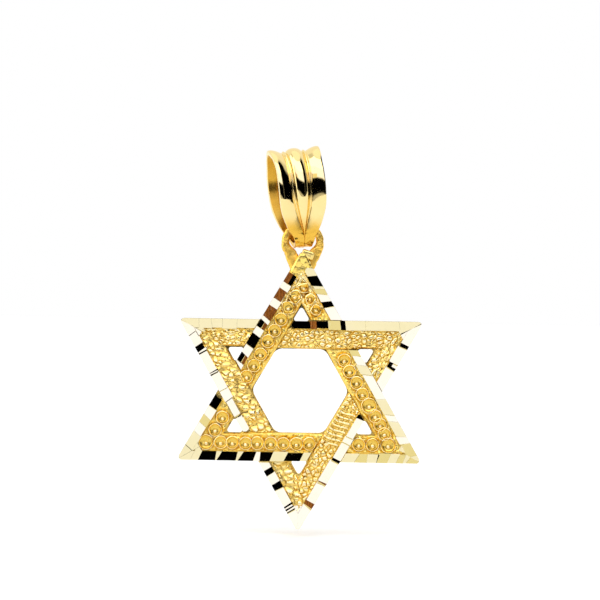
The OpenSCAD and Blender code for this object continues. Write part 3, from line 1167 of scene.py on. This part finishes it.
@dataclass
class HangingLoop:
    """The loop of flattened wire behind the top tip, the tip's rough cover, and the solder on it.

    square below 1 squares the wire's section, and flare widens the legs inwards, as a share of their width.
    """

    plan: StarPlan
    centre_y: float = 11.52
    radius: float = 1.36
    wide: float = 0.62
    thick: float = 0.45
    leg_deg: float = 23.0
    leg_long: float = 2.8
    flare: float = 0.62
    square: float = 0.8
    dent: float = 0.1
    dent_mm: float = 0.28
    wire_sides: int = 22
    ring_steps: int = 80
    leg_steps: int = 20
    cover_from: float = 8.75
    cover_to: float = 10.74
    cover_slant: float = 0.3
    cover_fall: float = 0.1
    cover_rise: float = 0.08
    cover_lump: float = 0.1
    cover_lump_mm: float = 0.5
    cover_climb: float = 0.16
    cover_skirt: float = 0.3
    slabs: Sequence[Slab] = (Slab(0.42, 10.62, 0.98, 0.66, -16, 1.2), Slab(0.3, 10.1, 0.8, 0.4, -30, 1.16))

    def wire(self, bm: BMesh) -> None:
        """Bend the wire: most of a ring and two straight legs.

        Args:
            bm: the mesh that takes it.
        """
        leg = math.radians(self.leg_deg)
        turn = Matrix.Rotation(-leg, 4, "Z")
        ring = bmesh.ops.create_circle(bm, segments=self.wire_sides, radius=1)["verts"]
        for vert in ring:
            a, b = (math.copysign(abs(c) ** self.square, c) for c in vert.co[:2])
            vert.co = turn @ Vector((self.radius + a * self.wide / 2, 0, b * self.thick / 2))
        sweep = {"axis": (0, 0, 1), "cent": (0, 0, 0), "angle": math.radians(180 + 2 * self.leg_deg)}
        first = ring + bm.edges[:]
        last = bmesh.ops.spin(bm, geom=first, steps=self.ring_steps, **sweep)["geom_last"]
        for hand, loop in ((-1, first), (1, last)):
            edges = [g for g in loop if isinstance(g, BMEdge)]
            step = Vector((hand * math.sin(leg), -math.cos(leg), 0)) * self.leg_long / self.leg_steps
            for _ in range(self.leg_steps):
                grown = bmesh.ops.extrude_edge_only(bm, edges=edges)["geom"]
                edges = [g for g in grown if isinstance(g, BMEdge) and g.is_boundary]
                verts = [g for g in grown if isinstance(g, BMVert)]
                bmesh.ops.translate(bm, vec=step, verts=verts)
            bmesh.ops.contextual_create(bm, geom=edges)

    def build(self) -> Object:
        """Make the loop and hammer it.

        Returns:
            The loop, whose legs widen inwards down to the solder.
        """
        bm = bmesh.new()
        self.wire(bm)
        bmesh.ops.recalc_face_normals(bm, faces=bm.faces[:])
        bm.normal_update()
        for vert in bm.verts:
            far, points = noise.voronoi(vert.co / self.dent_mm)
            depth = self.dent * (1 - min(1.0, far[0] / 0.6) ** 2) * (0.4 + 0.6 * noise.cell(points[0] * 7))
            vert.co -= vert.normal * depth
        leg = math.radians(self.leg_deg)
        for vert in bm.verts:
            flat = Vector((vert.co.x, vert.co.y, 0))
            out = flat.normalized()
            if flat.y < -self.radius * math.sin(leg):
                out = Vector((math.copysign(math.cos(leg), flat.x), -math.sin(leg), 0))
            depth = self.radius + self.wide / 2 - flat.dot(out)
            vert.co -= out * depth * self.flare * ease(-flat.y, -0.2, 1.0)
        bm.transform(Matrix.Translation((0, self.centre_y, self.plan.loop_mid)))
        return finish_piece("hanging_loop", bm, self.plan.place, HammeredGold(), "star", 60)

    def cover(self) -> Object:
        """Cast the rough top tip: a lumpy cover between the ends of the two rims and the loop's legs.

        Returns:
            The cover, which climbs towards the tip and falls off along its edges.
        """
        plan, bm = self.plan, bmesh.new()
        bmesh.ops.create_grid(bm, x_segments=44, y_segments=52, size=0.5)
        for vert in bm.verts:
            across, along = 2 * vert.co.x, vert.co.y + 0.5
            y = lerp(self.cover_from + self.cover_slant * across, self.cover_to, along)
            x = across * ((plan.reach - y) / TAN60 - 0.01)
            far = noise.voronoi(Vector((x / self.cover_lump_mm, y / self.cover_lump_mm, 8.1)))[0]
            lump = self.cover_lump * max(0.0, 1 - (far[0] / 0.8) ** 2)
            lump += self.cover_climb * (y - self.cover_from)
            edge = ease(abs(across), 0.72, 1.0) + ease(along, 0.9, 1.0) + 1.6 * (1 - ease(along, 0.0, 0.14))
            vert.co = Vector((x, y, plan.plate + self.cover_rise + lump - self.cover_fall * edge))
        drop_skirt(bm, plan.plate - self.cover_skirt)
        return finish_piece("tip_cover", bm, plan.place, WebGold(), "star", 60)

    def solder(self) -> Object:
        """Run the solder over the top tip: two uneven slabs.

        Returns:
            Both slabs as one piece.
        """
        bm = bmesh.new()
        for slab in self.slabs:
            part = bmesh.new()
            bmesh.ops.create_cube(part, size=1)
            bmesh.ops.scale(part, vec=(slab.wide, slab.high, slab.deep), verts=part.verts[:])
            edge = {"offset": slab.edge_round, "segments": 4, "profile": 0.5, "material": -1}
            bmesh.ops.bevel(part, geom=part.edges[:], affect="EDGES", **edge)
            bmesh.ops.subdivide_edges(part, edges=part.edges[:], cuts=2, use_grid_fill=True)
            for vert in part.verts:
                vert.co += slab.uneven * shake(vert.co * 3.1 + Vector((slab.x, slab.y, 0)))
            turn = Matrix.Rotation(math.radians(slab.turn_deg), 4, "Z")
            tilt = Matrix.Rotation(math.radians(slab.tilt_deg), 4, "X")
            join(bm, part, Matrix.Translation((slab.x, slab.y, slab.top - slab.deep / 2)) @ (turn @ tilt))
        return finish_piece("tip_solder", bm, self.plan.place, SolderedGold(), "star", 60)


# The bail


@dataclass
class Bail:
    """One strap bent to a tapered loop, with three ribs that draw together at the fold."""

    high: float = 7.08
    deep: float = 3.0
    wide: float = 4.0
    wall: float = 0.42
    rib: float = 0.3
    turn_deg: float = 14.0
    lean_deg: float = 7.0
    rib_share: float = 0.505
    fold_dent: float = 0.08
    steps_round: int = 7

    def rows(self) -> list[tuple[float, ...]]:
        """The strap from its top to its fold.

        Returns:
            Rows of the drop, depth, width, ribs' height and ribs' spread as shares, and the swell in mm.
        """
        return [
            (0.0, 0.0, 1.0, 1.0, 1.0, 0.0),
            (0.015, 0.24, 0.99, 1.0, 1.0, 0.0),
            (0.06, 0.52, 0.96, 1.0, 1.0, 0.0),
            (0.137, 0.77, 0.93, 1.0, 1.0, 0.0),
            (0.24, 0.94, 0.93, 1.0, 0.98, 0.0),
            (0.347, 1.0, 0.93, 0.97, 0.95, 0.0),
            (0.44, 0.95, 0.92, 0.93, 0.9, 0.035),
            (0.523, 0.86, 0.91, 0.87, 0.82, 0.07),
            (0.611, 0.76, 0.87, 0.78, 0.7, 0.06),
            (0.699, 0.69, 0.79, 0.66, 0.55, 0.01),
            (0.787, 0.65, 0.68, 0.5, 0.38, -0.065),
            (0.85, 0.64, 0.57, 0.34, 0.22, -0.14),
            (0.91, 0.6, 0.44, 0.18, 0.12, -0.18),
            (0.96, 0.48, 0.38, 0.05, 0.08, -0.13),
            (0.99, 0.26, 0.35, 0.0, 0.06, -0.05),
            (1.0, 0.0, 0.34, 0.0, 0.05, 0.0),
        ]

    def section(self) -> list[tuple[float, float, float]]:
        """The strap's section as one closed line.

        Returns:
            Rows of the share across, the share of the ribs' height, and the place in the wall, which is 0.5
            on the outside and -0.5 on the inside.
        """
        out = ((0, 1), (0.07, 0.965), (0.14, 0.87), (0.21, 0.67), (0.27, 0.38), (0.315, 0.02), (0.335, -0.12),
               (0.365, 0.22), (0.4, 0.36), (0.435, 0.22), (0.47, -0.1), (0.505, 0.02), (0.6, 0.34),
               (0.72, 0.7), (0.84, 0.93), (0.93, 1.0), (1, 0.92))
        back = ((1, 1.12), (0.9, 0.85), (0.75, 0.42), (0.5, 0), (0, 0))
        half = []
        for i in range(len(out) - 1):
            four = [out[min(len(out) - 1, max(0, i + k))] for k in (-1, 0, 1, 2)]
            if i == 0:
                four[0] = (-out[1][0], out[1][1])
            half += [(*curve_through(*four, s / 3), 0.5) for s in range(3)]
        half += [(1.0, 0.92, 0.5), (1.008, 0.9, 0.35), (1.012, 0.96, 0.1), (1.008, 1.04, -0.2)]
        for a, b in zip(back, back[1:]):
            half += [(lerp(a[0], b[0], s / 4), lerp(a[1], b[1], s / 4), -0.5) for s in range(4)]
        half.append((0.0, 0.0, -0.5))
        other = [(-x, y, z) for x, y, z in half[-2:0:-1]]
        return half + other

    def ring(self) -> list[list[float]]:
        """Smooth rows all the way round the strap: down the front and up the back.

        Returns:
            Rows like those of the strap's front, with the depth negative at the back.
        """
        rows = self.rows()
        rows += [(r[0], -r[1], *r[2:]) for r in rows[-2:0:-1]]
        count = len(rows)
        return [
            curve_through(*(rows[(i + k) % count] for k in (-1, 0, 1, 2)), s / self.steps_round)
            for i in range(count)
            for s in range(self.steps_round)
        ]

    def middle(self, row: Sequence[float]) -> Vector:
        """The middle of the wall at a row, as depth towards the front and height."""
        return Vector((row[1] * self.deep / 2, self.wall / 2 - row[0] * self.high))

    def build(self) -> Object:
        """Roll a grid into the strap and close it.

        Returns:
            The bail, polished outside and satin inside.
        """
        ring, section = self.ring(), self.section()
        count, around = len(ring), len(section)
        centres = [self.middle(row) for row in ring]
        inner: set[BMVert] = set()
        bm = bmesh.new()
        bmesh.ops.create_grid(bm, x_segments=around, y_segments=count, size=0.5)
        for vert in bm.verts:
            i = round((vert.co.y + 0.5) * count) % count
            j = round((vert.co.x + 0.5) * around) % around
            share, rise, place = section[j]
            drop, _, wide, high, spread, swell = ring[i]
            size = abs(share)
            if size <= self.rib_share:
                size *= spread
            else:
                rest = (size - self.rib_share) / (1 - self.rib_share)
                size = spread * self.rib_share + rest * (1 - spread * self.rib_share)
            run = centres[(i + 1) % count] - centres[i - 1]
            out = Vector((-run.y, run.x)).normalized()
            thick = place * self.wall + rise * high * self.rib + max(0.0, place) * 2 * swell
            spot = centres[i] + out * thick
            if place > 0:
                near = ease(drop, 0.84, 0.95)
                spot -= out * self.fold_dent * near * noise.noise(Vector((4 * share, *spot * 3)))
            vert.co = Vector((math.copysign(size, share) * wide * self.wide / 2, -spot.x, spot.y))
            if place < -0.45:
                inner.add(vert)
        for face in bm.faces:
            face.material_index = int(all(vert in inner for vert in face.verts))
        bmesh.ops.remove_doubles(bm, verts=bm.verts[:], dist=1e-4)
        lean = Matrix.Rotation(math.radians(-self.lean_deg), 4, "Y")
        place = Matrix.Scale(MM, 4) @ lean @ Matrix.Rotation(math.radians(self.turn_deg), 4, "Z")
        return finish_piece(
            "ribbed_bail", bm, place, PolishedGold(), "bail", 60, replaces="bail", inside=SatinGold()
        )


# The studio


@dataclass(frozen=True)
class Panel:
    """A patch of the studio's light tent, seen from the pendant: middle and half size in degrees."""

    right: float
    half_right: float
    up: float
    half_up: float
    bright: float
    soft: float = 2.0
    colour: str = "FFFFFF"


@dataclass
class Studio:
    """A pale floor, a light tent with a soft box overhead and dark cards round the lens, and the camera."""

    sensor_mm: float = 36.0
    distance: float = 0.30
    view_wide_mm: float = 46.8
    centre_mm: tuple[float, float] = (0.702, -11.13)
    roll_deg: float = 1.0
    floor_drop_mm: float = 0.6
    floor_half: float = 1.5
    floor_front: float = 0.085
    backdrop: float = 1.05
    panels: Sequence[Panel] = (
        Panel(0, 105, -2, 34, 0.56, 10),
        Panel(0, 105, 50, 20, 0.75, 10),
        Panel(0, 181, 82, 18, 1.25, 4),
        Panel(-78, 22, 15, 35, 2.2, 6),
        Panel(0, 66, 47, 15, 2.3),
        Panel(0, 48, 23, 10.5, 1.95, 1.5, "D8DCFF"),
        Panel(70, 20, 20, 42, 0.0, 4),
        Panel(0, 50, -1, 12, 0.0, 1.5),
        Panel(-28, 6, 15.5, 4, 1.04, 1, "FFF7CD"),
        Panel(-42, 6, 15.5, 4, 0.35, 1, "FF9E54"),
        Panel(-40.6, 1.1, 15.5, 3.5, 0.1, 1, "FF9E54"),
        Panel(-44.4, 0.8, 15.5, 3.5, 0.6, 0.8, "FFA860"),
    )

    def camera(self) -> None:
        """Set the camera where the photograph was taken from: straight in front, with a long lens."""
        data = bpy.data.cameras.new("camera")
        data.sensor_width = self.sensor_mm
        data.lens = self.sensor_mm * self.distance / (self.view_wide_mm * MM)
        data.clip_start = 0.01
        camera = bpy.data.objects.new("camera", data)
        x, z = (c * MM for c in self.centre_mm)
        camera.matrix_world = (
            Matrix.Translation((x, -self.distance, z))
            @ Matrix.Rotation(math.radians(90), 4, "X")
            @ Matrix.Rotation(math.radians(self.roll_deg), 4, "Z")
        )
        bpy.context.scene.collection.objects.link(camera)
        bpy.context.scene.camera = camera

    def floor(self) -> None:
        """Lay a plain pale floor just under the lowest tip."""
        bm = bmesh.new()
        bmesh.ops.create_grid(bm, x_segments=1, y_segments=1, size=self.floor_half)
        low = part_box("star")[0].z - self.floor_drop_mm * MM
        bmesh.ops.translate(bm, vec=(0, self.floor_half - self.floor_front, low), verts=bm.verts[:])
        mesh = bpy.data.meshes.new("floor")
        bm.to_mesh(mesh)
        bm.free()
        paint = bpy.data.materials.new("matt_white_board")
        paint.use_nodes = True
        shader = paint.node_tree.nodes["Principled BSDF"]
        shader.inputs["Base Color"].default_value = srgb("FBFBF9")
        shader.inputs["Roughness"].default_value = 0.7
        mesh.materials.append(paint)
        floor = bpy.data.objects.new("floor", mesh)
        bpy.context.scene.collection.objects.link(floor)

    def window(
        self, tree: NodeTree, angle: NodeSocket, mid: float, half: float, soft: float
    ) -> NodeSocket:
        """A mask that is 1 within half of mid and falls to 0 over soft degrees.

        Args:
            tree: the world's nodes.
            angle: the direction's angle in degrees.
            mid: middle of the window.
            half: half of its size.
            soft: how far it fades on each side.

        Returns:
            The mask's socket.
        """
        away = add_node(tree, "Math", {0: angle, 1: mid}, operation="SUBTRACT").outputs[0]
        size = add_node(tree, "Math", {0: away}, operation="ABSOLUTE").outputs[0]
        ends = {"From Min": half - soft, "From Max": half + soft}
        values = {"Value": size, "To Min": 1.0, "To Max": 0.0} | ends
        return add_node(tree, "MapRange", values, interpolation_type="SMOOTHSTEP").outputs["Result"]

    def tent(self) -> None:
        """Light the scene from all round: the tent's brightness by direction, and plain white behind."""
        world = bpy.data.worlds.new("light_tent")
        bpy.context.scene.world = world
        world.use_nodes = True
        tree = world.node_tree
        tree.nodes.clear()
        way = add_node(tree, "TexCoord").outputs["Generated"]
        axes = add_node(tree, "SeparateXYZ", {"Vector": way}).outputs
        front = add_node(tree, "Math", {0: axes["Y"], 1: -1.0}, operation="MULTIPLY").outputs[0]
        around = add_node(tree, "Math", {0: axes["X"], 1: front}, operation="ARCTAN2").outputs[0]
        right = add_node(tree, "Math", {0: around}, operation="DEGREES").outputs[0]
        slope = add_node(tree, "Math", {0: axes["Z"]}, operation="ARCSINE").outputs[0]
        up = add_node(tree, "Math", {0: slope}, operation="DEGREES").outputs[0]
        light = add_node(tree, "RGB").outputs["Color"]
        light.default_value = (self.backdrop, self.backdrop, self.backdrop, 1.0)
        for panel in self.panels:
            across = self.window(tree, right, panel.right, panel.half_right, panel.soft)
            along = self.window(tree, up, panel.up, panel.half_up, panel.soft)
            mask = add_node(tree, "Math", {0: across, 1: along}, operation="MULTIPLY").outputs[0]
            colour = [c * panel.bright for c in srgb(panel.colour)[:3]] + [1.0]
            blend = {0: mask, "A": light, "B": colour}
            light = add_node(tree, "Mix", blend, data_type="RGBA").outputs["Result"]
        seen = add_node(tree, "LightPath").outputs["Is Camera Ray"]
        tent = add_node(tree, "Background", {"Color": light}).outputs["Background"]
        plain = {"Color": (1, 1, 1, 1), "Strength": 1.0}
        white = add_node(tree, "Background", plain).outputs["Background"]
        both = add_node(tree, "MixShader", {0: seen, 1: tent, 2: white}).outputs["Shader"]
        add_node(tree, "OutputWorld", {"Surface": both})
        bpy.context.scene.view_settings.view_transform = "Standard"

    def build(self) -> None:
        """Set up camera, floor and light."""
        self.camera()
        self.floor()
        self.tent()


def write_sizes() -> None:
    """Update the view layer.
    """
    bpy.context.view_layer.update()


def main() -> None:
    """Build the pendant and its studio, piece by piece."""
    logging.basicConfig(level=logging.INFO, format="%(name)s %(message)s")
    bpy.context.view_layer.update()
    plan = StarPlan()
    CastPlate(plan).build()
    WovenStar(plan).build()
    loop = HangingLoop(plan)
    loop.build()
    loop.cover()
    loop.solder()
    Bail().build()
    Studio().build()
    write_sizes()


if __name__ == "__main__":
    main()
